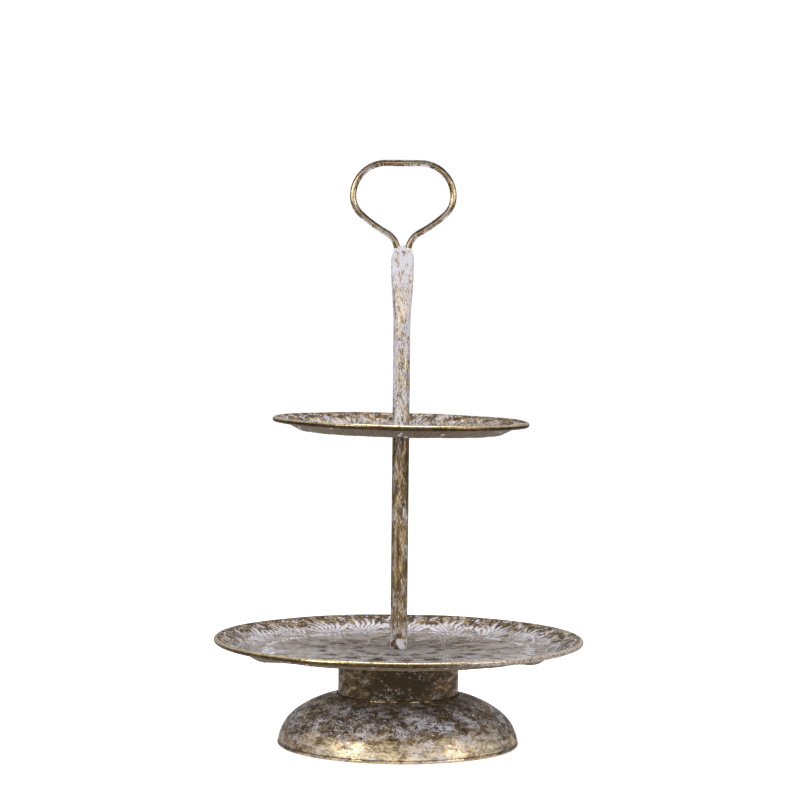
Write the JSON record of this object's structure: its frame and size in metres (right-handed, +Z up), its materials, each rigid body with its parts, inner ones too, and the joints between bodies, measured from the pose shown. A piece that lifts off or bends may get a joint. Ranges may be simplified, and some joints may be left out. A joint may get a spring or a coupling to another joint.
{
  "type": "tiered cake stand",
  "caption": "Free-standing tiered cake stand: dished plates with wired rims on a spun foot, joined by screwed posts under a bent-rod carrying loop.",
  "frame": {"origin": "centre of the foot ring, on the table", "axes": "+Z up along the posts; the carrying loop lies in the XZ plane"},
  "size_m": [0.3499, 0.35, 0.5518],
  "materials": {
    "foot_metal": "antique gold leaf over dark brown, rubbed with pale lavender-grey wash",
    "plate_metal": "pressed relief, pale wash in the hollows, brown-gold on the ridges, bright gold rim",
    "post_metal": "antique gold with lengthwise streaks of pale wash",
    "rod_metal": "burnished gold with dark brown and patches of pale wash",
    "plug_metal": "turned, plain",
    "steel": "zinc plated",
    "fibre": "red-brown vulcanised fibre"
  },
  "bodies": {
    "base": {"base_dome": "foot_metal", "neck_collar": "foot_metal", "neck_weld": "foot_metal", "neck_cap": "foot_metal", "base_bolt": "steel", "bolt_spring_washer": "steel", "bolt_penny_washer": "steel"},
    "lower_tier": {"lower_plate": "plate_metal", "lower_rim_wire": "steel"},
    "lower_foot_washer": {"lower_post_washer": "steel"},
    "lower_post": {"lower_post": "post_metal", "lower_post_bottom_plug": "plug_metal", "lower_post_top_plug": "plug_metal"},
    "upper_tier": {"upper_plate": "plate_metal", "upper_rim_wire": "steel", "upper_plate_under_washer": "fibre", "upper_plate_top_washer": "fibre"},
    "upper_foot_washer": {"upper_post_washer": "steel"},
    "upper_post": {"upper_post": "post_metal", "upper_post_plug": "plug_metal", "joining_stud": "steel", "handle_loop": "rod_metal", "handle_weld": "rod_metal"}
  },
  "joints": [
    {"name": "lower_plate_turn", "type": "hinge", "parent": "base", "child": "lower_tier", "pos_m": [0, 0, 0.089], "axis": [0, 0, 1], "continuous": true},
    {"name": "lower_post_rise", "type": "slide", "parent": "base", "child": "lower_foot_washer", "axis": [0, 0, 1], "range_m": [0, 0.01225]},
    {"name": "lower_post_unscrew", "type": "hinge", "parent": "lower_foot_washer", "child": "lower_post", "pos_m": [0, 0, 0.0902], "axis": [0, 0, 1], "range_deg": [0, 4410]},
    {"name": "upper_plate_turn", "type": "hinge", "parent": "lower_post", "child": "upper_tier", "pos_m": [0, 0, 0.2954], "axis": [0, 0, 1], "continuous": true},
    {"name": "upper_post_rise", "type": "slide", "parent": "lower_post", "child": "upper_foot_washer", "axis": [0, 0, 1], "range_m": [0, 0.01225]},
    {"name": "upper_post_unscrew", "type": "hinge", "parent": "upper_foot_washer", "child": "upper_post", "pos_m": [0, 0, 0.298], "axis": [0, 0, 1], "range_deg": [0, 4410]}
  ],
  "couplings": [
    {"joint": "lower_post_rise", "follows": "lower_post_unscrew", "m_per_rad": 0.00015915},
    {"joint": "upper_post_rise", "follows": "upper_post_unscrew", "m_per_rad": 0.00015915}
  ]
}
